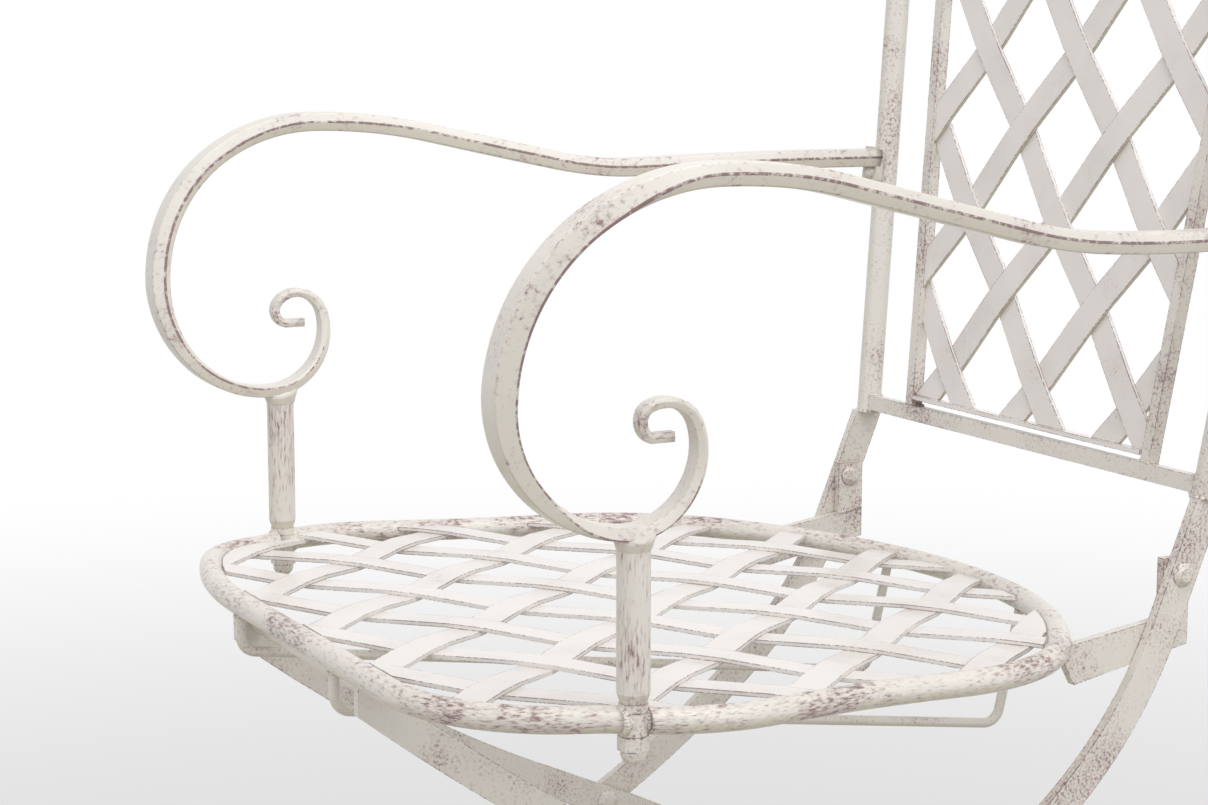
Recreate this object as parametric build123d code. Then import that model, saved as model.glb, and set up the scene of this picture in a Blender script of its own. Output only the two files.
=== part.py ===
from build123d import *
import os
from math import cos, sin, radians, sqrt, hypot

# Garden armchair of welded steel: X legs, woven seat and back, scrolled arms.
# Millimetres. The sitter faces -Y and the sitter's left is +X. The working
# origin is on the floor, midway between the two arm posts.

# Overall sizes
SEAT_H = 452.0          # floor to the foot of the arm posts
POST_X = 240.0          # half the distance between the arm posts
Y_CENTRE = 192.30       # working origin to the middle of the chair's depth
FIT = 0.05              # gap left between pieces that are welded or bolted together
RUN = 0.08              # radial clearance of pins and studs in their holes
SIDE_GAP = 0.30         # gap between flat bars that lie side by side

# Seat rim: a bent tube, split in a front and a rear bow at the arm sleeves
RIM_D = 14.0
RIM_WALL = 1.5
RIM_DROP = 9.0          # rim centre below the foot of the posts
RIM_FALL = 2.1          # degrees that the seat falls to the rear
FRONT_Y = -90.0
FRONT_HALF = {"left": 150.0, "right": 70.0}     # straight front edge on each side
FRONT_CORNER = {"left": ((230.0, -26.0),), "right": ((182.0, -69.0), (224.0, -26.0))}
REAR_Y = 367.0
REAR_END = (190.0, 295.0)
SIDE_REAR = (236.0, 195.0)
SIDE_WIDE = (250.0, 75.0)

# Flat weave strips
STRIP_W = 19.0
STRIP_T = 2.4
STRIP_FLAT = 22.0       # level length of a strip at each crossing
STRIP_MIN = 45.0        # a shorter corner strip is left out
SEAT_TURN = (40.0, 130.0)       # degrees of the two sets from the X axis
SEAT_PITCH = (61.0, 70.0)
SEAT_OFFSET = (-17.0, 38.0)
SEAT_LIFT = 2.0         # weave above the rim's centre
BACK_TURN = (48.1, 131.9)
BACK_PITCH = (70.8, 70.5)
BACK_OFFSET = (14.4, -24.5)

# Arm posts and what holds them to the seat
POST_D = 17.0
POST_BORE = 13.0
POST_CONE = 5.0
POST_TIP_D = 13.6
PLUG_H = 22.0
STUD_D = 8.0
RING_D = 15.0
RING_H = 4.2
SLEEVE_D = 12.8
SLEEVE_H = 12.2
RIM_SPLIT = SLEEVE_D - 1.0      # gap between the two bows at the sleeve
NUT_FLATS = 13.8
NUT_H = 7.5
NUT_DOME_D = 13.0
NUT_DOME_H = 8.0
NUT_BORE_H = 11.0
STUD_END = 1.0          # free depth of the nut past the stud

# Scrolled arms: a six-sided bar, slimmer towards the curl
ARM_W = 19.0
ARM_T = 11.8
ARM_FLAT = 15.5         # width of its flat top and underside
ARM_LEAN = 0.13         # outward lean of the loop
ARM_LEAN_Z = 85.0       # height above the post's foot where it stands over the post
ARM_INWARD = 0.1775     # slope of the rear run towards the back
ARM_TURN_Y = 40.0
ARM_TURN_R = 30.0
ARM_LOW = {"left": 85.1, "right": 89.8}     # the loop's centre over the post
ARM_END = {"left": 206.0, "right": 228.0}
ARM_END_Y = 416.0
FLANGE_W = 17.0
FLANGE_H = 24.0
FLANGE_T = 5.0
BOLT_D = 6.0
BOLT_HEAD_D = 10.4
BOLT_HEAD_H = 5.0
BOLT_BELOW = 11.8       # bolt below the centre of the arm's end
BOLT_REACH = 6.0

# Back frame, laid out in its own leaning plane: across and up
BACK_LEAN = 7.25
BACK_Y = 408.9          # where the plane passes BACK_Z
BACK_Z = SEAT_H + 67.0
UPRIGHT_D = 16.0
UPRIGHT_WALL = 1.8
UPRIGHT_X = 178.0
UPRIGHT_SPLAY = 0.0916
UPRIGHT_FOOT = -12.0
BOW_TOP = 441.5
BOW_SHOULDER = (172.0, 420.6)
BOW_END = 364.7
RAIL_T = 10.0
RAIL_V = -6.0
PANEL_T = 8.0
PANEL_X = 124.0
PANEL_SPLAY = 0.0859
LEDGE_T = 3.0
LEDGE_DEPTH = 10.0
LEDGE_V = 3.0

# Legs: flat bars, the front legs outside and the rear legs inside
BAR_W = 19.0
BAR_T = 6.0
LEG_OUT = 182.0         # outer face of the front legs
LEG_KNEE = (378.0, SEAT_H - 17.0)
LEG_BEND = (312.0, SEAT_H - 111.0)
LEG_CROSS = (200.0, SEAT_H - 193.0)
FRONT_FOOT_Y = -35.0
REAR_TOP = (-100.0, SEAT_H - 9.0)
REAR_TOP_SLOPE = -40.0
REAR_FOOT_Y = 471.0
REAR_TOP_X = 92.0
REAR_END_Y = -86.0      # upright cut of the rear legs' top ends
REAR_BEND_Y = 160.0
CROSS_ROD_D = 8.0
CROSS_ROD = (-72.0, SEAT_H - 25.0)
STRETCHER_D = 10.0
STRETCHER_Z = 110.0
RIVET_D = 8.0
RIVET_HEAD_D = 15.0
RIVET_HEAD_H = 3.5
SEAT_PIVOT = (389.0, SEAT_H + 12.0)

# Guide rods and hanging brackets under the seat
GUIDE_D = 6.0
GUIDE_X = 72.0
GUIDE_R = 10.0
GUIDE_FRONT_Z = SEAT_H - 34.0
GUIDE_REAR = (340.0, SEAT_H - 97.0)
PLATE_T = 5.4
TAB_END = SEAT_PIVOT[0] + BAR_W / 2
TAB_Y = (TAB_END - BAR_W, TAB_END)
TAB_TOP = 21.0
BRACKET = ((306.0, -24.0), (TAB_END, -11.0), (TAB_END, -31.0), (318.0, -46.0))

os.makedirs("parts", exist_ok=True)
SIDES = ("left", "right")
UP = (Align.CENTER, Align.CENTER, Align.MIN)
DOWN = (Align.CENTER, Align.CENTER, Align.MAX)


def save(shape, name):
    export_step(Pos(0, -Y_CENTRE, 0) * shape, "parts/" + name + ".step")


def mirrored(shape, side):
    return shape if side == "left" else mirror(shape, about=Plane.YZ)


def group(shapes):
    return Compound([solid for shape in shapes for solid in shape.solids()])


def pair(shape):
    return group([shape, mirror(shape, about=Plane.YZ)])


def rod_x(x0, x1, d, y, z):
    turn = Rot(0, 90, 0)
    return Pos((x0 + x1) / 2, y, z) * turn * Cylinder(d / 2, x1 - x0)


def tube(path, d, wall=0.0):
    section = Circle(d / 2)
    if wall:
        section -= Circle(d / 2 - wall)
    start = Plane(path @ 0, z_dir=path % 0)
    return sweep(start * section, path=path)


# Seat plane: flat outlines are drawn on it and lie in the falling seat
SEAT = Location(Plane((0, 0, SEAT_H - RIM_DROP), x_dir=(1, 0, 0),
                      z_dir=(0, sin(radians(RIM_FALL)), cos(radians(RIM_FALL)))))


def front_edges(side):
    edges = [Line((0, FRONT_Y), (FRONT_HALF[side], FRONT_Y))]
    for end in FRONT_CORNER[side] + ((POST_X, 0),):
        edges.append(TangentArc(edges[-1] @ 1, end, tangent=edges[-1] % 1))
    return edges


rear_arc = TangentArc((0, REAR_Y), REAR_END, tangent=(1, 0))
rear_corner = TangentArc(REAR_END, SIDE_REAR, tangent=rear_arc % 1)
rear_side = TangentArc(SIDE_REAR, SIDE_WIDE, tangent=rear_corner % 1)
side_wide = TangentArc(SIDE_WIDE, (POST_X, 0), tangent=rear_side % 1)
half_rear = [rear_arc, rear_corner, rear_side, side_wide]
front_left = front_edges("left")
front_right = front_edges("right")


def bow(left, right, d, wall=0.0):
    return SEAT * (tube(Wire(left), d, wall) + mirror(tube(Wire(right), d, wall), about=Plane.YZ))


post_axis = Pos(POST_X, 0, SEAT_H)
ring_z = -FIT - RING_H
sleeve_z = ring_z - FIT - SLEEVE_H
sleeve_room = post_axis * Pos(0, 0, ring_z) * Cylinder(
    SLEEVE_D / 2 + FIT, 4 * RIM_D, align=DOWN)
ring_room = post_axis * Pos(0, 0, ring_z - FIT) * Cylinder(
    RING_D / 2 + FIT, 4 * RIM_D, align=UP)
split_room = post_axis * Box(2 * RIM_D, RIM_SPLIT, 4 * RIM_D)
post_room = sleeve_room + ring_room + split_room
post_rooms = post_room + mirror(post_room, about=Plane.YZ)
rim_front = bow(front_left, front_right, RIM_D, RIM_WALL) - post_rooms
rim_rear = bow(half_rear, half_rear, RIM_D, RIM_WALL) - post_rooms
rim_room = bow(front_left, front_right, RIM_D + 2 * FIT)
rim_room += bow(half_rear, half_rear, RIM_D + 2 * FIT)
save(rim_front, "seat_rim_front")
save(rim_rear, "seat_rim_rear")


# Woven strips: each one goes over and under the strips that it crosses
def strip(along, crossings, low, high):
    level = STRIP_T / 2 + FIT
    line = []
    for s, over in crossings:
        line += [(s - STRIP_FLAT / 2, over * level), (s + STRIP_FLAT / 2, over * level)]
    line = [(low, line[0][1])] + line + [(high, line[-1][1])]
    half = STRIP_T / 2
    outline = [(s, z + half) for s, z in line] + [(s, z - half) for s, z in reversed(line)]
    face = make_face(Polyline(outline, close=True))
    bar = extrude(face, STRIP_W / 2, both=True)
    return Pos(0, along, 0) * Rot(90, 0, 0) * bar


def weave(turns, pitch, begin, opening, place, names):
    lanes = []
    for axis in (0, 1):
        box = (Rot(0, 0, -turns[axis]) * opening).bounding_box()
        first = int((box.min.Y - begin[axis]) // pitch[axis])
        last = int((box.max.Y - begin[axis]) // pitch[axis]) + 1
        lanes.append([(k, begin[axis] + k * pitch[axis]) for k in range(first, last + 1)])
    for axis in (0, 1):
        between = radians(turns[1 - axis] - turns[axis])
        kept = 0
        for k, along in lanes[axis]:
            crossings = []
            for j, other in lanes[1 - axis]:
                s = (along * cos(between) - other) / sin(between)
                crossings.append((s, 1 if (k + j + axis) % 2 else -1))
            crossings.sort()
            low = crossings[0][0] - STRIP_FLAT
            high = crossings[-1][0] + STRIP_FLAT
            bar = Rot(0, 0, turns[axis]) * strip(along, crossings, low, high)
            cut = bar & opening
            length = cut.volume / (STRIP_W * STRIP_T) if cut else 0
            if length > STRIP_MIN:
                kept += 1
                save(place * cut, names[axis] + "_" + str(kept))


left_rim = front_left + half_rear
right_rim = front_right + half_rear
rim_flat = make_face(left_rim + [edge.mirror(Plane.YZ) for edge in right_rim])
seat_inside = offset(rim_flat, amount=-RIM_D / 2 - FIT)
seat_opening = extrude(seat_inside, 2 * STRIP_T, both=True)
weave(SEAT_TURN, SEAT_PITCH, SEAT_OFFSET, seat_opening, SEAT * Pos(0, 0, SEAT_LIFT),
      ("seat_strip_left", "seat_strip_right"))

# Back frame
lean = radians(BACK_LEAN)
BACK_PLANE = Plane((0, BACK_Y, BACK_Z), x_dir=(1, 0, 0), z_dir=(0, -cos(lean), sin(lean)))
BACK = Location(BACK_PLANE)


def upright_x(v):
    return UPRIGHT_X + UPRIGHT_SPLAY * v


def panel_x(v):
    return PANEL_X + PANEL_SPLAY * v


bow_arch = TangentArc((0, BOW_TOP), BOW_SHOULDER, tangent=(1, 0))
bow_corner = TangentArc(BOW_SHOULDER, (upright_x(BOW_END), BOW_END), tangent=bow_arch % 1)
bow_half = tube(Wire([bow_arch, bow_corner]), UPRIGHT_D, UPRIGHT_WALL)
bow_room_half = tube(Wire([bow_arch, bow_corner]), UPRIGHT_D + 2 * FIT)
bow_room = bow_room_half + mirror(bow_room_half, about=Plane.YZ)
save(BACK * (bow_half + mirror(bow_half, about=Plane.YZ)), "back_top_bow")

upright_top = BOW_END - SIDE_GAP
upright_line = Line((upright_x(UPRIGHT_FOOT), UPRIGHT_FOOT), (upright_x(upright_top), upright_top))
upright_flat = tube(upright_line, UPRIGHT_D, UPRIGHT_WALL)
upright_room = tube(upright_line, UPRIGHT_D + 2 * FIT)

flange_n = UPRIGHT_D / 2 + FIT


def end_v(side):
    return (SEAT_H + ARM_END[side] - BACK_Z) / cos(lean)


def flange_v(side):
    return end_v(side) + ARM_T / 2 - FLANGE_H / 2


def bolt_place(side):
    v = end_v(side) - BOLT_BELOW
    return Pos(upright_x(v), v, flange_n)


for side in SIDES:
    hole = bolt_place(side) * Cylinder(BOLT_D / 2 + RUN, UPRIGHT_D)
    save(mirrored(BACK * (upright_flat - hole), side), side + "_back_upright")

rail = Pos(0, RAIL_V, 0) * Box(2 * UPRIGHT_X, RAIL_T, RAIL_T)
rail -= upright_room + mirror(upright_room, about=Plane.YZ)
save(BACK * rail.solids().sort_by(SortBy.VOLUME)[-1], "back_bottom_rail")

panel_low = RAIL_V + RAIL_T / 2 + FIT
panel_high = BOW_TOP
half_t = PANEL_T / 2
panel_face = make_face(Polyline(
    (panel_x(panel_low) - half_t, panel_low), (panel_x(panel_low) + half_t, panel_low),
    (panel_x(panel_high) + half_t, panel_high), (panel_x(panel_high) - half_t, panel_high),
    close=True))
panel_bar = extrude(panel_face, half_t, both=True) - bow_room
panel_bar = panel_bar.solids().sort_by(SortBy.VOLUME)[-1]
for side in SIDES:
    save(mirrored(BACK * panel_bar, side), side + "_panel_bar")

ledge_x = panel_x(LEDGE_V) - half_t - FIT - LEDGE_T * PANEL_SPLAY
ledge = Pos(0, LEDGE_V + LEDGE_T / 2, 0) * Box(2 * ledge_x, LEDGE_T, LEDGE_DEPTH)
save(BACK * ledge, "panel_bottom_strip")

inside_low = LEDGE_V + LEDGE_T + FIT
inside_face = make_face(Polyline(
    (-panel_x(inside_low) + half_t + FIT, inside_low),
    (panel_x(inside_low) - half_t - FIT, inside_low),
    (panel_x(panel_high) - half_t - FIT, panel_high),
    (-panel_x(panel_high) + half_t + FIT, panel_high), close=True))
back_opening = extrude(inside_face, 2 * STRIP_T, both=True) - bow_room
back_opening = back_opening.solids().sort_by(Axis.Y)[0]
weave(BACK_TURN, BACK_PITCH, BACK_OFFSET, back_opening, BACK,
      ("back_strip_left", "back_strip_right"))

# Legs, drawn in side view: Y across and Z up
SIDE_VIEW = Location(Plane((0, 0, 0), x_dir=(0, 1, 0), z_dir=(1, 0, 0)))
above_floor = Pos(0, 0, SEAT_H) * Box(4 * LEG_OUT, 4 * SEAT_H, 2 * SEAT_H)


def side_bar(edges, width, x0, x1):
    path = Wire(edges)
    start = Plane(path @ 0, x_dir=(0, 0, 1), z_dir=path % 0)
    bar = sweep(start * Rectangle(x1 - x0, width), path=path)
    return SIDE_VIEW * Pos(0, 0, (x0 + x1) / 2) * bar


def at_height(edge, z):
    low, high = 0.0, 1.0
    for step in range(40):
        middle = (low + high) / 2
        if (edge @ middle).Y > z:
            low = middle
        else:
            high = middle
    return (edge @ low).X


foot_v = UPRIGHT_FOOT - UPRIGHT_SPLAY * (LEG_OUT - upright_x(UPRIGHT_FOOT)) - FIT
leg_top = Vector(BACK_Y + foot_v * sin(lean), BACK_Z + foot_v * cos(lean))
leg_rise = (leg_top - Vector(*LEG_KNEE)).normalized()
leg_line = Line(leg_top + leg_rise * BAR_W / 2, LEG_KNEE)
leg_upper = TangentArc(LEG_KNEE, LEG_BEND, tangent=leg_line % 1)
leg_middle = TangentArc(LEG_BEND, LEG_CROSS, tangent=leg_upper % 1)
above_foot = BACK * Pos(0, foot_v + BAR_W, 0) * Box(3 * LEG_OUT, 2 * BAR_W, 3 * BAR_W)
leg_lower = TangentArc(LEG_CROSS, (FRONT_FOOT_Y, 0), tangent=leg_middle % 1)
leg_run_out = Line(leg_lower @ 1, leg_lower @ 1 + (leg_lower % 1) * BAR_W)
front_leg = side_bar([leg_line, leg_upper, leg_middle, leg_lower, leg_run_out], BAR_W,
                     LEG_OUT - BAR_T, LEG_OUT) & above_floor
front_leg -= above_foot
tilt = radians(REAR_TOP_SLOPE)
rear_upper = TangentArc(REAR_TOP, LEG_CROSS, tangent=(cos(tilt), sin(tilt)))
rear_lower = TangentArc(LEG_CROSS, (REAR_FOOT_Y, 0), tangent=rear_upper % 1)
rear_run_out = Line(rear_lower @ 1, rear_lower @ 1 + (rear_lower % 1) * BAR_W)
rear_out = LEG_OUT - BAR_T - SIDE_GAP
rear_wide = side_bar([rear_upper, rear_lower, rear_run_out], BAR_W, 0, LEG_OUT)
turn_in = (rear_out - BAR_T / 2 - REAR_TOP_X) / (REAR_BEND_Y - REAR_END_Y)
half_slant = BAR_T * sqrt(1 + turn_in ** 2) / 2
past_foot = REAR_FOOT_Y + 3 * BAR_W
rear_plan = make_face(Polyline(
    (REAR_TOP_X - half_slant, REAR_END_Y), (REAR_TOP_X + half_slant, REAR_END_Y),
    (rear_out, REAR_BEND_Y), (rear_out, past_foot),
    (rear_out - BAR_T, past_foot), (rear_out - BAR_T, REAR_BEND_Y), close=True))
rivet_hole = rod_x(0, 2 * LEG_OUT, RIVET_D + 2 * RUN, *LEG_CROSS)
seat_hole = rod_x(0, 2 * LEG_OUT, RIVET_D + 2 * RUN, *SEAT_PIVOT)
front_leg -= rivet_hole + seat_hole
rear_leg = (rear_wide & extrude(rear_plan, SEAT_H)) - rivet_hole
for side in SIDES:
    save(mirrored(front_leg, side), side + "_front_leg")
    seated = (rear_leg - mirrored(rim_room, side)).solids().sort_by(SortBy.VOLUME)[-1]
    save(mirrored(seated, side), side + "_rear_leg")


def rivet(x0, x1, y, z):
    grip = x1 - x0 + 2 * FIT
    head_r = RIVET_HEAD_D / 2
    shape = Cylinder(RIVET_D / 2, grip, align=UP)
    shape += Pos(0, 0, grip) * Cone(head_r, head_r / 2, RIVET_HEAD_H, align=UP)
    shape += Cone(head_r / 2, head_r, RIVET_HEAD_H, align=DOWN)
    return Pos(x0 - FIT, y, z) * Rot(0, 90, 0) * shape


leg_rivet = rivet(rear_out - BAR_T, LEG_OUT, *LEG_CROSS)
leg_pair = rear_leg + mirror(rear_leg, about=Plane.YZ)
cross_rod = rod_x(-REAR_TOP_X - BAR_T, REAR_TOP_X + BAR_T, CROSS_ROD_D, *CROSS_ROD) - leg_pair
save(cross_rod.solids().sort_by(SortBy.VOLUME)[-1], "rear_leg_cross_rod")
front_inner = LEG_OUT - BAR_T - FIT
rear_inner = rear_out - BAR_T - FIT
save(rod_x(-front_inner, front_inner, STRETCHER_D, at_height(leg_lower, STRETCHER_Z),
           STRETCHER_Z), "front_leg_stretcher")
save(rod_x(-rear_inner, rear_inner, STRETCHER_D, at_height(rear_lower, STRETCHER_Z),
           STRETCHER_Z), "rear_leg_stretcher")

# Guide rods under the seat, from the front edge of the rim to the rear edge
rear_at_guide = REAR_Y - (REAR_Y - REAR_END[1]) * (GUIDE_X / REAR_END[0]) ** 2
fall = sin(radians(RIM_FALL))
front_rim_z = SEAT_H - RIM_DROP - FRONT_Y * fall
rear_rim_z = SEAT_H - RIM_DROP - rear_at_guide * fall
guide_path = FilletPolyline((FRONT_Y, front_rim_z), (FRONT_Y, GUIDE_FRONT_Z), GUIDE_REAR,
                            (rear_at_guide, rear_rim_z), radius=GUIDE_R)
guide_bar = SIDE_VIEW * Pos(0, 0, GUIDE_X) * tube(guide_path, GUIDE_D) - rim_room
guide_bar = guide_bar.solids().sort_by(SortBy.VOLUME)[-1]
for side in SIDES:
    save(mirrored(guide_bar, side), side + "_guide_rod")

# Brackets that hang the seat on the front legs, each with an upstanding tab
plate_x = LEG_OUT - BAR_T - SIDE_GAP - PLATE_T / 2


def plate(points):
    face = make_face(Polyline([(y, SEAT_H + z) for y, z in points], close=True))
    return SIDE_VIEW * Pos(0, 0, plate_x) * extrude(face, PLATE_T / 2, both=True)


bracket = plate(BRACKET) - rim_room
bracket = bracket.solids().sort_by(SortBy.VOLUME)[-1]
bracket_rise = (BRACKET[1][1] - BRACKET[0][1]) / (BRACKET[1][0] - BRACKET[0][0])
tab_foot = [BRACKET[1][1] + (y - BRACKET[1][0]) * bracket_rise + FIT for y in TAB_Y]
tab = plate(((TAB_Y[0], tab_foot[0]), (TAB_Y[1], tab_foot[1]),
             (TAB_Y[1], TAB_TOP), (TAB_Y[0], TAB_TOP))) - seat_hole
for side in SIDES:
    save(mirrored(bracket, side), side + "_seat_bracket")
save(pair(tab), "seat_bracket_tabs")
seat_rivet = rivet(plate_x - PLATE_T / 2, LEG_OUT, *SEAT_PIVOT)
save(group([pair(leg_rivet), pair(seat_rivet)]), "pivot_rivets")

# Scrolled arms: a centre line of tangent arcs, then the bar from section to section
SECTION = ((ARM_FLAT / 2, ARM_T / 2), (ARM_W / 2, 0), (ARM_FLAT / 2, -ARM_T / 2),
           (-ARM_FLAT / 2, -ARM_T / 2), (-ARM_W / 2, 0), (-ARM_FLAT / 2, ARM_T / 2))
LOOP = ((32.0, 259.0), (-31.3, 240.5), (-76.2, 158.8), (-61.0, 114.7), (-4.8, ARM_LEAN_Z),
        (31.1, 137.1), (4.2, 147.5), (0.4, 142.9), (5.8, 131.6))
LOOP_POST = 4           # which of these points stands over the post
LOOP_STEPS = (5, 9, 6, 8, 12, 8, 2, 6)
LOOP_WIDE = (1, 1, 1, 0.97, 0.92, 0.55, 0.45, 0.42, 0.34)
LOOP_THICK = (1, 1, 1, 0.72, 0.56, 0.5, 0.44, 0.44, 0.44)
CURL_END = (18.5, 131.6)
REAR_RUN = {"left": ((112.0, 249.6), (240.0, 219.3), (300.0, 209.8)),
            "right": ((112.0, 249.6), (195.0, 230.4), (250.0, 225.4))}
RUN_STEPS = (6, 6, 4, 6)


def chain(points, steps, heading, wide, thick):
    line = []
    for k, count in enumerate(steps):
        arc = TangentArc(points[k], points[k + 1], tangent=heading)
        for step in range(count):
            part = step / count
            line.append((arc @ part, wide[k] + (wide[k + 1] - wide[k]) * part,
                         thick[k] + (thick[k + 1] - thick[k]) * part))
        heading = arc % 1
    line.append((Vector(*points[-1]), wide[-1], thick[-1]))
    return line


def arm_line(side):
    rear = (LOOP[0],) + REAR_RUN[side] + ((ARM_END_Y, ARM_END[side]),)
    full = (1,) * len(rear)
    run = chain(rear, RUN_STEPS, (1, 0), full, full)
    over_post = (LOOP[LOOP_POST][0], ARM_LOW[side])
    points = LOOP[:LOOP_POST] + (over_post,) + LOOP[LOOP_POST + 1:]
    loop = chain(points, LOOP_STEPS, (-1, 0), LOOP_WIDE, LOOP_THICK)
    return run[:0:-1] + loop + [(Vector(*CURL_END), LOOP_WIDE[-1], LOOP_THICK[-1])]


def arm_point(flat):
    d = flat.X - ARM_TURN_Y
    inward = ARM_INWARD * (d + hypot(d, ARM_TURN_R)) / 2
    return Vector(POST_X + ARM_LEAN * (flat.Y - ARM_LEAN_Z) - inward, flat.X, SEAT_H + flat.Y)


def arm(side):
    line = [(arm_point(p), wide, thick) for p, wide, thick in arm_line(side)]
    sections = []
    for k, (here, wide, thick) in enumerate(line):
        ahead = line[min(k + 1, len(line) - 1)][0]
        behind = line[max(k - 1, 0)][0]
        along = (ahead - behind).normalized()
        across = Vector(1, 0, 0) - along * along.X
        plane = Plane(here, x_dir=across, z_dir=along)
        corners = [plane.from_local_coords((x * wide, y * thick, 0)) for x, y in SECTION]
        sections.append(make_face(Polyline(corners, close=True)))
    return loft(sections, ruled=True)


for side in SIDES:
    v = flange_v(side)
    hold = bolt_place(side)
    flange = Pos(upright_x(v), v, flange_n + FLANGE_T / 2) * Box(FLANGE_W, FLANGE_H, FLANGE_T)
    behind = Pos(upright_x(v), v, flange_n - UPRIGHT_D) * Box(
        3 * FLANGE_W, 3 * FLANGE_H, 2 * UPRIGHT_D)
    shape = (arm(side) - BACK * behind) + BACK * flange
    shape -= BACK * hold * Cylinder(BOLT_D / 2 + RUN, 4 * FLANGE_T)
    shape -= BACK * hold * Pos(0, 0, FLANGE_T) * Cylinder(
        BOLT_HEAD_D / 2 + SIDE_GAP, 4 * BOLT_HEAD_H, align=UP)
    save(mirrored(shape, side), side + "_arm")

bolts = []
for side in SIDES:
    ball_r = (BOLT_HEAD_D ** 2 / 4 + BOLT_HEAD_H ** 2) / (2 * BOLT_HEAD_H)
    head = Pos(0, 0, BOLT_HEAD_H - ball_r) * Sphere(ball_r)
    head &= Pos(0, 0, ball_r) * Box(2 * ball_r, 2 * ball_r, 2 * ball_r)
    bolt = Pos(0, 0, FLANGE_T + FIT) * head
    bolt += Pos(0, 0, -BOLT_REACH) * Cylinder(BOLT_D / 2, BOLT_REACH + FLANGE_T + FIT, align=UP)
    bolts.append(mirrored(BACK * bolt_place(side) * bolt, side))
save(group(bolts), "arm_bolts")

# Arm posts with threaded ends, their rings, sleeves and domed nuts
stud_hole = STUD_D / 2 + RUN
ring = Cylinder(RING_D / 2, RING_H, align=UP) - Cylinder(stud_hole, RING_H, align=UP)
save(pair(post_axis * Pos(0, 0, ring_z) * ring), "post_rings")
sleeve = Cylinder(SLEEVE_D / 2, SLEEVE_H, align=UP) - Cylinder(stud_hole, SLEEVE_H, align=UP)
save(pair(post_axis * Pos(0, 0, sleeve_z) * sleeve), "post_sleeves")

nut_z = sleeve_z - FIT
nut = extrude(RegularPolygon(NUT_FLATS / 2, 6, major_radius=False), -NUT_H)
dome_low = NUT_H + NUT_DOME_H - NUT_DOME_D / 2
nut += Cylinder(NUT_DOME_D / 2, dome_low, align=DOWN)
nut += Pos(0, 0, -dome_low) * Sphere(NUT_DOME_D / 2)
nut -= Cylinder(stud_hole, NUT_BORE_H, align=DOWN)
save(pair(post_axis * Pos(0, 0, nut_z) * nut), "domed_nuts")

for side in SIDES:
    height = min(p.Y - ARM_T * thick / 2 for p, wide, thick in arm_line(side)) - FIT
    post = Pos(0, 0, POST_CONE) * Cylinder(POST_D / 2, height - POST_CONE, align=UP)
    post += Cone(POST_TIP_D / 2, POST_D / 2, POST_CONE, align=UP)
    post -= Pos(0, 0, PLUG_H) * Cylinder(POST_BORE / 2, height, align=UP)
    post += Cylinder(STUD_D / 2, NUT_BORE_H - nut_z - STUD_END, align=DOWN)
    save(mirrored(post_axis * post, side), side + "_arm_post")
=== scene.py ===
import bmesh
import bpy
import math
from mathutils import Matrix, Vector, noise


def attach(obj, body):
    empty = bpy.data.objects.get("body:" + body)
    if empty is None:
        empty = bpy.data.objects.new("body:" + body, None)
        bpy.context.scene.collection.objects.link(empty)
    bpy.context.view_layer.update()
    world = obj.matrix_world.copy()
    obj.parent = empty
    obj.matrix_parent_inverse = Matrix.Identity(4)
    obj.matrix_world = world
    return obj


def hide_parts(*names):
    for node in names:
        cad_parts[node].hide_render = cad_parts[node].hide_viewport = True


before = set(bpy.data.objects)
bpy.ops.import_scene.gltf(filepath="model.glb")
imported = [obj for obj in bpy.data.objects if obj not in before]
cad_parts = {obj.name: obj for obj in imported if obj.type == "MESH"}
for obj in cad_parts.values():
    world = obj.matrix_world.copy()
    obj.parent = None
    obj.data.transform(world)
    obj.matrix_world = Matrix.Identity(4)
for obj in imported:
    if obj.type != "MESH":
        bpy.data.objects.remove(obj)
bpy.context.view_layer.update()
scene = bpy.context.scene
BODY = "root"
SIDES = ("left", "right")
SIGNS = (1, -1)         # left, right
MM = 0.001

# Lengths in millimetres: x to the sitter's left of the middle, y back from the posts, z up from the floor
Y_CENTRE = 192.30       # the part's origin, behind the posts
SEAT_H = 452.0          # foot of the posts
POST_X = 240.0
POST_D = 17.0
RIM_R = 7.0
RIM_Z = SEAT_H - 9.0    # centre of the rim at the posts
FIT = 0.05              # gap left between welded pieces
RING_STEPS = 32         # points around a turned form
FLAT_WEIGHT = 80        # how strongly large faces set the shading of their edges

# Arms: the same centre lines as the solids, as (back from the posts, above the posts' feet)
ARM_W = 19.0
ARM_T = 11.8
ARM_FLAT = 15.5
ARM_LEAN = 0.13
ARM_LEAN_Z = 85.0
ARM_INWARD = 0.1775
ARM_TURN_Y = 40.0
ARM_TURN_R = 30.0
ARM_LOW = {"left": 85.1, "right": 89.8}
ARM_END = {"left": 206.0, "right": 228.0}
ARM_END_Y = 416.0
ARM_STEP = 2.0          # distance between the sections of an arm
STRAIGHT = 1e-5         # bend, in radians, under which an arc counts as a line
LOOP = ((32.0, 259.0), (-31.3, 240.5), (-76.2, 158.8), (-61.0, 114.7), (-4.8, ARM_LEAN_Z),
        (31.1, 137.1), (4.2, 147.5), (0.4, 142.9), (5.8, 131.6), (18.5, 131.6))
LOOP_POST = 4           # the loop's point over the post
LOOP_WIDE = (1, 1, 1, 0.97, 0.92, 0.55, 0.45, 0.42, 0.34, 0.34)
LOOP_THICK = (1, 1, 1, 0.72, 0.56, 0.5, 0.44, 0.44, 0.44, 0.44)
REAR_RUN = {"left": ((112.0, 249.6), (240.0, 219.3), (300.0, 209.8)),
            "right": ((112.0, 249.6), (195.0, 230.4), (250.0, 225.4))}

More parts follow.
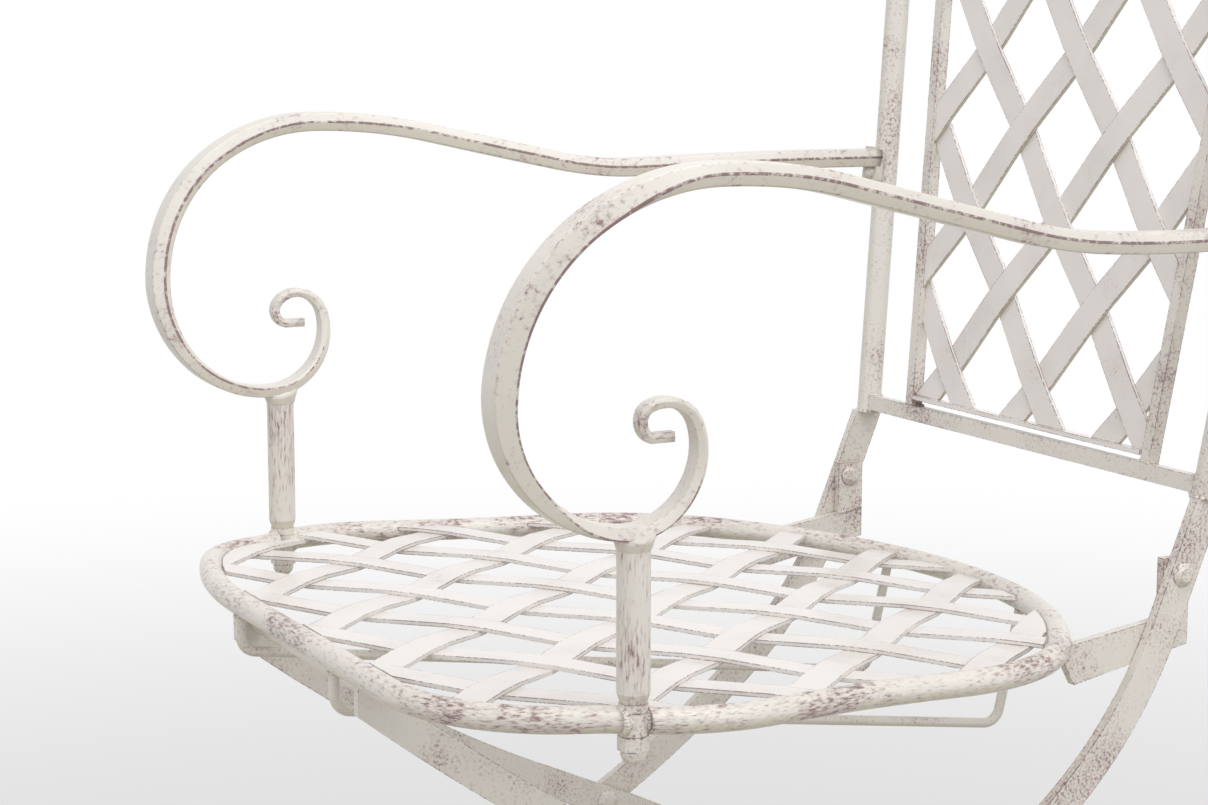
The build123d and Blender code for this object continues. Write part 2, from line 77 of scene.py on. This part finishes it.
# Where the worn ridge lies on the bar's sides: 1 at its outer face, -1 at its inner face
LOOP_RIDGE = {"left": (0.05, -0.9, -1.0, -1.0, 1.0, 0.3, 0.1, 0.0, 0.0, 0.0),
              "right": (0.0, -0.2, -0.3, -0.4, -0.7, 0.0, 0.1, 0.0, 0.0, 0.0)}
RUN_RIDGE = 0.1
RIDGE_CORNERS = (1, 4)
CORNERS = 6
CORNER_POINTS = 3
CORNER_REACH = 0.4      # most of a side that one rounded corner takes
SOFT_EDGE = 1.0
WORN_EDGE = 0.8
CURL_THICK = 0.52       # share of the full thickness at which the curl starts

# Back frame's leaning plane, and the plates that join the arms to its uprights
BACK_LEAN = math.radians(7.25)
BACK_Y = 408.9
BACK_Z = SEAT_H + 67.0
UPRIGHT_D = 16.0
UPRIGHT_X = 178.0
UPRIGHT_SPLAY = 0.0916
UPRIGHT_FOOT = -12.0
PLATE_W = 17.0
PLATE_H = 24.0
PLATE_T = 5.0
PLATE_EDGE = 2.0


def place(x, y, z):
    return Vector((x * MM, (y - Y_CENTRE) * MM, z * MM))


def back_point(x, v, n):
    c, s = math.cos(BACK_LEAN), math.sin(BACK_LEAN)
    return Vector((x, BACK_Y + v * s - n * c, BACK_Z + v * c + n * s))


def upright_x(v):
    return UPRIGHT_X + UPRIGHT_SPLAY * v


def blend(a, b, t):
    return a + (b - a) * t


def srgb(r, g, b):
    def linear(v):
        v /= 255.0
        return v / 12.92 if v <= 0.04045 else ((v + 0.055) / 1.055) ** 2.4
    return (linear(r), linear(g), linear(b), 1.0)


# Antique paint: pale grey cream with purple-brown wear; the olive on undersides is painted shade
CREAM = srgb(224, 219, 211)
PALE = srgb(232, 227, 223)
# Painted shade: the olive that faces turned downward are mixed toward
SHADE_OLIVE = srgb(199, 191, 166)
STAIN = srgb(205, 196, 190)
RUBBED = srgb(181, 159, 156)
BARE = srgb(116, 85, 86)
GLOSS = {"Roughness": 0.33, "Specular IOR Level": 0.5, "Coat Weight": 0.2, "Coat Roughness": 0.12}

# Noise: steps per metre along x, y and z, then detail and roughness
BROAD_NOISE = ((24, 24, 24), 3.0, 0.5)
FINE_DETAIL = (4.0, 0.62)
EVEN_GRAIN = (560, 560, 560)
RIM_GRAIN = (210, 210, 900)
POST_GRAIN = (760, 760, 130)
ARM_GRAIN = (700, 260, 360)
FINE_SHARE = 0.6
BROAD_SHARE = 0.4

# Layers of colour: the value at which each starts, how fast it grows and its full share
SHADE_OLIVE_FROM = 0.1        # upward part of a face's direction under which the painted olive shade starts
SHADE_OLIVE_GAIN = 1.2
STAIN_LAYER = (0.45, 2.5, 0.4)
RUBBED_LAYER = (-0.05, 9.0, 0.7)
BARE_LAYER = (0.03, 14.0, 0.8)
EDGE_REACH = 0.0013     # metres
EDGE_SAMPLES = 8
EDGE_COSINE = 0.985
EDGE_GAIN = 14.0
EDGE_BREAKS = (0.45, 12.0)
BUMP_STRENGTH = 0.12
BUMP_DEPTH = 0.0004     # metres


def paint(name, top, worn_from, edge_wear, grain):
    """Wear shows where the paint's noise is above worn_from, and along edges."""
    mat = bpy.data.materials.new(name)
    mat.use_nodes = True
    nodes, links = mat.node_tree.nodes, mat.node_tree.links
    shader = nodes["Principled BSDF"]
    for key, value in GLOSS.items():
        shader.inputs[key].default_value = value

    def feed(socket, value):
        if hasattr(value, "is_linked"):
            links.new(value, socket)
        else:
            socket.default_value = value

    def calc(op, a, b, clamp=False):
        n = nodes.new("ShaderNodeMath")
        n.operation = op
        n.use_clamp = clamp
        feed(n.inputs[0], a)
        feed(n.inputs[1], b)
        return n.outputs[0]

    def above(value, low, gain):
        return calc("MULTIPLY", calc("SUBTRACT", value, low), gain, True)

    def below(value, high, gain):
        return calc("MULTIPLY", calc("SUBTRACT", high, value), gain, True)

    def times(a, b):
        return calc("MULTIPLY", a, b)

    def mix(factor, a, b):
        n = nodes.new("ShaderNodeMix")
        n.data_type = "RGBA"
        feed(n.inputs["Factor"], factor)
        feed(n.inputs[6], a)
        feed(n.inputs[7], b)
        return n.outputs[2]

    coords = nodes.new("ShaderNodeTexCoord").outputs["Object"]

    def noise_at(stretch, detail, rough):
        m = nodes.new("ShaderNodeMapping")
        m.inputs["Scale"].default_value = stretch
        links.new(coords, m.inputs["Vector"])
        n = nodes.new("ShaderNodeTexNoise")
        n.inputs["Scale"].default_value = 1.0
        n.inputs["Detail"].default_value = detail
        n.inputs["Roughness"].default_value = rough
        links.new(m.outputs["Vector"], n.inputs["Vector"])
        return n.outputs["Fac"]

    def layer(colour, value, base, start, gain, share, tint):
        return mix(times(above(value, base + start, gain), share), colour, tint)

    geometry = nodes.new("ShaderNodeNewGeometry")
    split = nodes.new("ShaderNodeSeparateXYZ")
    links.new(geometry.outputs["Normal"], split.inputs[0])
    # Painted shade: faces turning downward are mixed toward olive by their normal's height
    colour = mix(below(split.outputs["Z"], SHADE_OLIVE_FROM, SHADE_OLIVE_GAIN), top, SHADE_OLIVE)
    broad = noise_at(*BROAD_NOISE)
    colour = layer(colour, broad, 0, *STAIN_LAYER, STAIN)

    # Fine ragged wear, gathered in broad patches
    fine = noise_at(grain, *FINE_DETAIL)
    worn = calc("ADD", times(fine, FINE_SHARE), times(broad, BROAD_SHARE))
    colour = layer(colour, worn, worn_from, *RUBBED_LAYER, RUBBED)
    colour = layer(colour, worn, worn_from, *BARE_LAYER, BARE)

    # Worn lines where two faces meet
    bevel = nodes.new("ShaderNodeBevel")
    bevel.samples = EDGE_SAMPLES
    bevel.inputs["Radius"].default_value = EDGE_REACH
    dot = nodes.new("ShaderNodeVectorMath")
    dot.operation = "DOT_PRODUCT"
    links.new(bevel.outputs["Normal"], dot.inputs[0])
    links.new(geometry.outputs["Normal"], dot.inputs[1])
    edge = below(dot.outputs["Value"], EDGE_COSINE, EDGE_GAIN)
    broken = above(worn, *EDGE_BREAKS)
    colour = mix(times(times(edge, broken), edge_wear), colour, BARE)
    links.new(colour, shader.inputs["Base Color"])

    bump = nodes.new("ShaderNodeBump")
    bump.inputs["Strength"].default_value = BUMP_STRENGTH
    bump.inputs["Distance"].default_value = BUMP_DEPTH
    links.new(fine, bump.inputs["Height"])
    links.new(bump.outputs["Normal"], shader.inputs["Normal"])
    return mat


frame_paint = paint("frame_paint", CREAM, 0.55, 0.8, EVEN_GRAIN)
rim_paint = paint("rim_paint", CREAM, 0.515, 0.8, RIM_GRAIN)
arm_paint = paint("arm_paint", CREAM, 0.585, 0.0, ARM_GRAIN)
arm_ridge = paint("arm_ridge", CREAM, 0.41, 0.0, ARM_GRAIN)
arm_edge = paint("arm_edge", CREAM, 0.54, 0.0, ARM_GRAIN)
strip_paint = paint("strip_paint", PALE, 0.65, 0.9, EVEN_GRAIN)
post_paint = paint("post_paint", CREAM, 0.525, 0.9, POST_GRAIN)
small_paint = paint("small_paint", CREAM, 0.54, 0.9, EVEN_GRAIN)

SMALL_NODES = ("arm_bolts", "domed_nuts", "pivot_rivets", "post_rings", "post_sleeves")
for name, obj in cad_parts.items():
    mat = frame_paint
    if "strip" in name:
        mat = strip_paint
    elif name.endswith("_arm"):
        mat = arm_paint
    elif name.endswith("_post"):
        mat = post_paint
    elif "rim" in name:
        mat = rim_paint
    elif name in SMALL_NODES:
        mat = small_paint
    for slot in obj.material_slots:
        slot.material = mat


def add_piece(name, mesh, mat):
    obj = bpy.data.objects.new(name, mesh)
    scene.collection.objects.link(obj)
    mesh.materials.append(mat)
    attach(obj, BODY)
    return obj


def loft_mesh(name, skins):
    """Closed skins, each over rings of points, smooth along and around."""
    mesh = bpy.data.meshes.new(name)
    verts, faces = [], []
    for rings in skins:
        base, count = len(verts), len(rings[0])
        verts += [place(*p) for ring in rings for p in ring]
        for k in range(len(rings) - 1):
            low = base + k * count
            for i in range(count):
                j = (i + 1) % count
                faces.append((low + i, low + j, low + count + j, low + count + i))
        last = base + (len(rings) - 1) * count
        faces.append(tuple(reversed(range(base, base + count))))
        faces.append(tuple(range(last, last + count)))
    mesh.from_pydata(verts, [], faces)
    work = bmesh.new()
    work.from_mesh(mesh)
    bmesh.ops.recalc_face_normals(work, faces=work.faces)
    work.to_mesh(mesh)
    work.free()
    mesh.shade_smooth()
    return mesh


def keep_flats(obj):
    weighted = obj.modifiers.new("flat faces", "WEIGHTED_NORMAL")
    weighted.weight = FLAT_WEIGHT
    weighted.keep_sharp = True


def circle(centre, u, v, count):
    turns = [2 * math.pi * i / count for i in range(count)]
    return [centre + u * math.cos(turn) + v * math.sin(turn) for turn in turns]


# Scrolled arms: tangent arcs in side view, then sections along them
def turned(v, angle):
    c, s = math.cos(angle), math.sin(angle)
    return Vector((v.x * c - v.y * s, v.x * s + v.y * c))


def chain(points, heading, wide, thick, ridge):
    """Points along tangent arcs, each with its width, thickness and place of the ridge."""
    line = []
    heading = Vector(heading)
    for k in range(len(points) - 1):
        start = Vector(points[k])
        chord = Vector(points[k + 1]) - start
        bend = math.atan2(heading.x * chord.y - heading.y * chord.x, heading.dot(chord))
        count = max(2, round(chord.length * (1 + abs(bend)) / ARM_STEP))
        for step in range(count):
            t = step / count
            reach = math.sin(t * bend) / math.sin(bend) if abs(bend) > STRAIGHT else t
            ease = t * t * (3 - 2 * t)
            line.append((start + turned(heading, t * bend) * chord.length * reach,
                         blend(wide[k], wide[k + 1], t), blend(thick[k], thick[k + 1], t),
                         blend(ridge[k], ridge[k + 1], ease)))
        heading = turned(heading, 2 * bend)
    line.append((Vector(points[-1]), wide[-1], thick[-1], ridge[-1]))
    return line


def arm_line(side):
    rear = (LOOP[0],) + REAR_RUN[side] + ((ARM_END_Y, ARM_END[side]),)
    full = (1,) * len(rear)
    ridge = (LOOP_RIDGE[side][0],) + (RUN_RIDGE,) * (len(rear) - 1)
    run = chain(rear, (1, 0), full, full, ridge)
    over_post = (LOOP[LOOP_POST][0], ARM_LOW[side])
    points = LOOP[:LOOP_POST] + (over_post,) + LOOP[LOOP_POST + 1:-1]
    loop = chain(points, (-1, 0), LOOP_WIDE[:-1], LOOP_THICK[:-1], LOOP_RIDGE[side][:-1])
    tip = (Vector(LOOP[-1]), LOOP_WIDE[-1], LOOP_THICK[-1], LOOP_RIDGE[side][-1])
    return run[:0:-1] + loop + [tip]


def arm_point(flat):
    """An arm leans out with its height, and turns inward behind its loop."""
    d = flat.x - ARM_TURN_Y
    inward = ARM_INWARD * (d + math.hypot(d, ARM_TURN_R)) / 2
    return Vector((POST_X + ARM_LEAN * (flat.y - ARM_LEAN_Z) - inward, flat.x, SEAT_H + flat.y))


def rounded(corners):
    """A closed outline with each corner (across, up, radius) turned into three points."""
    outline = []
    for k, (x, y, r) in enumerate(corners):
        here = Vector((x, y))
        before = Vector(corners[k - 1][:2]) - here
        after = Vector(corners[(k + 1) % len(corners)][:2]) - here
        first = here + before.normalized() * min(r, CORNER_REACH * before.length)
        last = here + after.normalized() * min(r, CORNER_REACH * after.length)
        outline += [first, (first + last) / 4 + here / 2, last]
    return outline


def onto_plate(point, along):
    """Moves a point of the bar's rear end into the plate, in the back's leaning plane."""
    middle = back_point(0, 0, UPRIGHT_D / 2 + PLATE_T / 2)
    facing = back_point(0, 0, 1) - back_point(0, 0, 0)
    return point + along * ((middle - point).dot(facing) / along.dot(facing))


def arm_rings(side):
    line = [(arm_point(p), wide, thick, ridge) for p, wide, thick, ridge in arm_line(side)]
    rings = []
    for k, (here, wide, thick, ridge) in enumerate(line):
        along = (line[min(k + 1, len(line) - 1)][0] - line[max(k - 1, 0)][0]).normalized()
        across = (Vector((1, 0, 0)) - along * along.x).normalized()
        up = along.cross(across)
        half, flat, deep = ARM_W / 2 * wide, ARM_FLAT / 2 * wide, ARM_T / 2 * thick
        shift = ridge * deep
        soft, worn = SOFT_EDGE * thick, WORN_EDGE * thick * (1 + abs(ridge))
        corners = ((flat, deep, soft), (half, shift, worn), (flat, -deep, soft),
                   (-flat, -deep, soft), (-half, shift, worn), (-flat, deep, soft))
        ring = [here + across * q.x + up * q.y for q in rounded(corners)]
        rings.append([onto_plate(p, along) for p in ring] if k == 0 else ring)
    return rings


def plate_rings(side):
    v = (SEAT_H + ARM_END[side] - BACK_Z) / math.cos(BACK_LEAN) + ARM_T / 2 - PLATE_H / 2
    w, h, edge = PLATE_W / 2, PLATE_H / 2, PLATE_EDGE
    outline = rounded(((w, h, edge), (w, -h, edge), (-w, -h, edge), (-w, h, edge)))
    rings = []
    for n in (UPRIGHT_D / 2 + FIT, UPRIGHT_D / 2 + FIT + PLATE_T):
        rings.append([back_point(upright_x(v) + q.x, v + q.y, n) for q in outline])
    return rings


def on_side(rings, side):
    if side == "left":
        return rings
    return [[Vector((-p.x, p.y, p.z)) for p in ring] for ring in rings]


def wear_corners(mesh, line):
    """The bar's rounded corners get the worn paints, the ridges most. Its plate stays flat."""
    mesh.materials.append(arm_ridge)
    mesh.materials.append(arm_edge)
    around = CORNERS * CORNER_POINTS
    bar_faces = (len(line) - 1) * around
    for face in mesh.polygons[:bar_faces]:
        k, spot = divmod(face.index, around)
        corner, part = divmod(spot, CORNER_POINTS)
        thick = line[k][2]
        if part < CORNER_POINTS - 1:
            face.material_index = 1 if corner in RIDGE_CORNERS and thick > CURL_THICK else 2
    for face in mesh.polygons[bar_faces + 2:]:
        face.use_smooth = False


for side in SIDES:
    skins = [on_side(arm_rings(side), side), on_side(plate_rings(side), side)]
    arm = add_piece(side + "_scroll_arm", loft_mesh(side + "_scroll_arm", skins), arm_paint)
    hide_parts(side + "_arm")
    keep_flats(arm)
    wear_corners(arm.data, arm_line(side))

# Weld where a post's top meets the arm: rings of (swell, rise, unevenness, whether it follows the arm)
POST_WELD = ((-0.4, -6.5, 0.0, False), (0.3, -5.0, 0.8, False), (1.2, -2.0, 0.7, True),
             (1.9, 0.6, 0.4, True), (-3.0, 1.6, 0.0, True))
POST_WELD_GRAIN = 2.1
POST_WELD_CLIMB = 1.6   # how far the weld spreads at the rear
ROUGH_RISE = 1.3        # unevenness in height over that in width
NEAR_DIP = 1.3          # the underside counts up to this many times the arm's height over the post


def post_weld(side):
    low = [(p.x, p.y - ARM_T * thick / 2) for p, wide, thick, ridge in arm_line(side)
           if abs(p.x) < POST_D and p.y < NEAR_DIP * ARM_LOW[side]]
    top = min(z for y, z in low)
    rings = []
    for swell, rise, lump, on_arm in POST_WELD:
        ring = []
        for i in range(RING_STEPS):
            turn = 2 * math.pi * i / RING_STEPS
            spot = Vector((POST_WELD_GRAIN * math.cos(turn), POST_WELD_GRAIN * math.sin(turn), rise))
            rough = lump * noise.noise(spot)
            climb = POST_WELD_CLIMB * max(0, math.sin(turn)) ** 3 if on_arm else 0
            r = POST_D / 2 + swell + rough + climb
            y = r * math.sin(turn)
            under = min(low, key=lambda q: abs(q[0] - y))[1]
            z = (under if on_arm else top) + rise + ROUGH_RISE * rough
            ring.append(Vector((POST_X + r * math.cos(turn), y, SEAT_H + z)))
        rings.append(ring)
    return rings


for side in SIDES:
    mesh = loft_mesh(side + "_post_weld", [on_side(post_weld(side), side)])
    add_piece(side + "_post_weld", mesh, arm_paint)

# Sleeves between the rim's two bows, a little proud of its tube
RING_H = 4.2            # thin ring between a sleeve and its post
SLEEVE_R = 7.3
SLEEVE_H = 12.2
SLEEVE_CAP_R = 4.3
SLEEVE_EDGE = 0.5
SLEEVE_TOP = SEAT_H - RING_H - 2 * FIT
SLEEVE_LOW = SLEEVE_TOP - SLEEVE_H
SLEEVE_PROFILE = ((SLEEVE_CAP_R, SLEEVE_LOW), (SLEEVE_R - SLEEVE_EDGE, SLEEVE_LOW),
                  (SLEEVE_R, SLEEVE_LOW + SLEEVE_EDGE), (SLEEVE_R, SLEEVE_TOP - SLEEVE_EDGE),
                  (SLEEVE_R - SLEEVE_EDGE, SLEEVE_TOP), (SLEEVE_CAP_R, SLEEVE_TOP))


def sleeve_rings(x):
    return [circle(Vector((x, 0, z)), Vector((r, 0, 0)), Vector((0, r, 0)), RING_STEPS)
            for r, z in SLEEVE_PROFILE]


sleeves = loft_mesh("rim_sleeves", [sleeve_rings(sign * POST_X) for sign in SIGNS])
sleeves = add_piece("rim_sleeves", sleeves, small_paint)
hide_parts("post_sleeves")
keep_flats(sleeves)

# Plugs that close the rim's tube ends beside the sleeves
PLUG_HALF = 6.8
PLUG_R = RIM_R - 0.4
PLUG_CAP_R = 3.0
PLUG_PROFILE = ((PLUG_CAP_R, -PLUG_HALF), (PLUG_R, -PLUG_HALF),
                (PLUG_R, PLUG_HALF), (PLUG_CAP_R, PLUG_HALF))


def plug_rings(x):
    return [circle(Vector((x, y, RIM_Z)), Vector((r, 0, 0)), Vector((0, 0, r)), RING_STEPS)
            for r, y in PLUG_PROFILE]


plug_mesh = loft_mesh("rim_plugs", [plug_rings(sign * POST_X) for sign in SIGNS])
plug_mesh.shade_flat()
add_piece("rim_plugs", plug_mesh, rim_paint)

# Weld beads: rows and rings of small uneven lumps
LUMP_ROUGH = 0.25
LUMP_GRAIN = 1.4
BEAD_PITCH = 1.1        # distance between lumps in a row, over their largest half size


def lump_into(work, centre, size, seed):
    made = bmesh.ops.create_icosphere(work, subdivisions=2, radius=1.0)
    for vert in made["verts"]:
        way = vert.co.copy()
        swell = 1 + LUMP_ROUGH * noise.noise(way * LUMP_GRAIN + Vector((seed, 2 * seed, 0)))
        vert.co = place(*(centre + Vector((way.x * size.x, way.y * size.y, way.z * size.z)) * swell))


def bead_row(work, a, b, size, seed):
    count = max(1, round((b - a).length / (BEAD_PITCH * max(size))))
    for k in range(count + 1):
        lump_into(work, a.lerp(b, k / count), size, seed + k)


def bead_ring(work, centre, u, v, size, count, seed):
    for k, point in enumerate(circle(centre, u, v, count)):
        lump_into(work, point, size, seed + k)


# Half sizes of the lumps, and where they lie
SLEEVE_BEAD = Vector((1.7, 1.9, 1.9))
SLEEVE_BEADS = 26
SLEEVE_BEAD_Y = 6.4
SLEEVE_BEAD_R = RIM_R - 1.1
FOOT_BEAD = Vector((1.9, 1.9, 1.5))
FOOT_BEADS = 14
FOOT_BEAD_R = UPRIGHT_D / 2 - 0.6
RAIL_BEAD = Vector((1.7, 1.4, 1.3))
RAIL_EDGES = (-0.8, -11.2)
RAIL_HALF = 4.0
RAIL_IN = 8.4           # the rail's end, in from the upright's centre
PANEL_BEAD = Vector((1.4, 1.3, 1.2))
PANEL_SIDES = (118.5, 127.0)
PANEL_FOOT = -0.6
PANEL_HALF = 3.5
BRACKET_BEAD = Vector((1.5, 1.9, 1.9))
BRACKET_BEADS = 5
BRACKET_X = 173.0
BRACKET_HALF = 2.9
BRACKET_RIM = (307.0, 431.6)
BRACKET_RIM_R = 7.4
BRACKET_FROM = -88      # degrees around the rim, from its underside to its rear
BRACKET_STEP = 20
TAB_BEAD = Vector((1.3, 1.7, 1.4))
TAB_HALF = 2.7
TAB_FOOT = ((381.0, 438.6), (397.0, 440.9))
GUIDE_BEAD = Vector((1.5, 1.5, 1.2))
GUIDE_BEADS = 9
GUIDE_TOP = (72.0, -90.0, 438.9)
GUIDE_R = 3.0

welds = bmesh.new()
for sign in SIGNS:
    # Rim's ends against the sleeves
    for y in (-SLEEVE_BEAD_Y, SLEEVE_BEAD_Y):
        bead_ring(welds, Vector((sign * POST_X, y, RIM_Z)), Vector((SLEEVE_BEAD_R, 0, 0)),
                  Vector((0, 0, SLEEVE_BEAD_R)), SLEEVE_BEAD, SLEEVE_BEADS, 50 * sign + y)
    # Uprights' feet on the front legs, the rail against the uprights, the panel bars on the rail
    foot = back_point(sign * upright_x(UPRIGHT_FOOT), UPRIGHT_FOOT, 0)
    bead_ring(welds, foot, Vector((FOOT_BEAD_R, 0, 0)), Vector((0, FOOT_BEAD_R, 0)),
              FOOT_BEAD, FOOT_BEADS, 10 * sign)
    for v in RAIL_EDGES:
        x = sign * (upright_x(v) - RAIL_IN)
        bead_row(welds, back_point(x, v, -RAIL_HALF), back_point(x, v, RAIL_HALF), RAIL_BEAD, 30 * sign + v)
    for x in PANEL_SIDES:
        bead_row(welds, back_point(sign * x, PANEL_FOOT, -PANEL_HALF),
                 back_point(sign * x, PANEL_FOOT, PANEL_HALF), PANEL_BEAD, 40 * sign + x)
    # Seat brackets against the rim's rear, and the feet of their tabs
    for x in (BRACKET_X - BRACKET_HALF, BRACKET_X + BRACKET_HALF):
        for k in range(BRACKET_BEADS):
            turn = math.radians(BRACKET_FROM + BRACKET_STEP * k)
            y = BRACKET_RIM[0] + BRACKET_RIM_R * math.cos(turn)
            z = BRACKET_RIM[1] + BRACKET_RIM_R * math.sin(turn)
            lump_into(welds, Vector((sign * x, y, z)), BRACKET_BEAD, 60 * sign + x + k)
    tab_x = sign * (BRACKET_X - TAB_HALF)
    tab_ends = [Vector((tab_x, y, z)) for y, z in TAB_FOOT]
    bead_row(welds, tab_ends[0], tab_ends[1], TAB_BEAD, 70 * sign)
    # Guide rods against the rim's underside at the front
    x, y, z = GUIDE_TOP
    bead_ring(welds, Vector((sign * x, y, z)), Vector((GUIDE_R, 0, 0)), Vector((0, GUIDE_R, 0)),
              GUIDE_BEAD, GUIDE_BEADS, 80 * sign)
mesh = bpy.data.meshes.new("weld_beads")
welds.to_mesh(mesh)
welds.free()
mesh.shade_smooth()
add_piece("weld_beads", mesh, frame_paint)


# Studio, in metres: a pale floor and surround, white where the camera or a reflection sees them
FLOOR_HALF = 60.0
FLOOR_GREY = (0.62, 0.62, 0.62, 1.0)
FADE_FROM = 0.5         # distance from the chair at which the floor starts to fade to white
FADE_TO = 2.8
NEAR_WHITE = 0.40       # share of plain white under the chair
WHITE = (1.0, 1.0, 1.0, 1.0)
SURROUND_LIGHT = 0.58
SURROUND_SEEN = 1.0
# Lamps: name, size, power, place, aim
LAMPS = (("key", 2.4, 44, (1.1, 0.1, 2.8), (0, 0, 0.5)),
         ("side", 1.2, 9, (2.4, 0.6, 1.5), (0, 0, 0.5)),
         ("front", 1.6, 9, (0.5, -2.6, 1.3), (0, 0, 0.6)))


def seen_rays(tree):
    rays = tree.nodes.new("ShaderNodeLightPath")
    seen = rays.outputs["Is Camera Ray"]
    for kind in ("Is Glossy Ray", "Is Transmission Ray"):
        either = tree.nodes.new("ShaderNodeMath")
        either.operation = "MAXIMUM"
        tree.links.new(seen, either.inputs[0])
        tree.links.new(rays.outputs[kind], either.inputs[1])
        seen = either.outputs[0]
    return seen


def floor_paint():
    mat = bpy.data.materials.new("floor_white")
    mat.use_nodes = True
    tree = mat.node_tree
    tree.nodes.clear()
    diffuse = tree.nodes.new("ShaderNodeBsdfDiffuse")
    diffuse.inputs["Color"].default_value = FLOOR_GREY
    glow = tree.nodes.new("ShaderNodeEmission")
    coords = tree.nodes.new("ShaderNodeTexCoord")
    away = tree.nodes.new("ShaderNodeVectorMath")
    away.operation = "LENGTH"
    tree.links.new(coords.outputs["Object"], away.inputs[0])
    fade = tree.nodes.new("ShaderNodeMapRange")
    fade.interpolation_type = "SMOOTHSTEP"
    fade.inputs["From Min"].default_value = FADE_FROM
    fade.inputs["From Max"].default_value = FADE_TO
    fade.inputs["To Min"].default_value = NEAR_WHITE
    tree.links.new(away.outputs["Value"], fade.inputs["Value"])
    share = tree.nodes.new("ShaderNodeMath")
    share.operation = "MULTIPLY"
    tree.links.new(fade.outputs["Result"], share.inputs[0])
    tree.links.new(seen_rays(tree), share.inputs[1])
    both = tree.nodes.new("ShaderNodeMixShader")
    tree.links.new(share.outputs[0], both.inputs[0])
    tree.links.new(diffuse.outputs[0], both.inputs[1])
    tree.links.new(glow.outputs[0], both.inputs[2])
    output = tree.nodes.new("ShaderNodeOutputMaterial")
    tree.links.new(both.outputs[0], output.inputs["Surface"])
    return mat


floor_corners = [(-FLOOR_HALF, -FLOOR_HALF, 0), (FLOOR_HALF, -FLOOR_HALF, 0),
                 (FLOOR_HALF, FLOOR_HALF, 0), (-FLOOR_HALF, FLOOR_HALF, 0)]
floor_mesh = bpy.data.meshes.new("floor")
floor_mesh.from_pydata(floor_corners, [], [(0, 1, 2, 3)])
floor_mesh.materials.append(floor_paint())
floor = bpy.data.objects.new("floor", floor_mesh)
scene.collection.objects.link(floor)

world = bpy.data.worlds.new("studio")
scene.world = world
world.use_nodes = True
sky = world.node_tree.nodes["Background"]
sky.inputs["Color"].default_value = WHITE
level = world.node_tree.nodes.new("ShaderNodeMapRange")
level.inputs["To Min"].default_value = SURROUND_LIGHT
level.inputs["To Max"].default_value = SURROUND_SEEN
world.node_tree.links.new(seen_rays(world.node_tree), level.inputs["Value"])
world.node_tree.links.new(level.outputs["Result"], sky.inputs["Strength"])

for name, size, power, at, aim in LAMPS:
    lamp = bpy.data.lights.new(name, "AREA")
    lamp.size = size
    lamp.energy = power
    obj = bpy.data.objects.new(name, lamp)
    obj.location = at
    obj.rotation_euler = (Vector(aim) - Vector(at)).to_track_quat("-Z", "Y").to_euler()
    scene.collection.objects.link(obj)

# Camera, fitted to the photograph
LENS = 80.46
SENSOR = 36.0
FARTHEST = 60.0
CAMERA_AT = (1371.58, -606.30, SEAT_H + 352.05)
AZIMUTH = math.radians(62.46)
TILT = math.radians(9.003)
camera_data = bpy.data.cameras.new("camera")
camera_data.sensor_width = SENSOR
camera_data.lens = LENS
camera_data.clip_end = FARTHEST
camera = bpy.data.objects.new("camera", camera_data)
camera.location = place(*CAMERA_AT)
look = Vector((-math.sin(AZIMUTH) * math.cos(TILT), math.cos(AZIMUTH) * math.cos(TILT), -math.sin(TILT)))
camera.rotation_euler = look.to_track_quat("-Z", "Y").to_euler()
scene.collection.objects.link(camera)
scene.camera = camera
scene.view_settings.view_transform = "Standard"
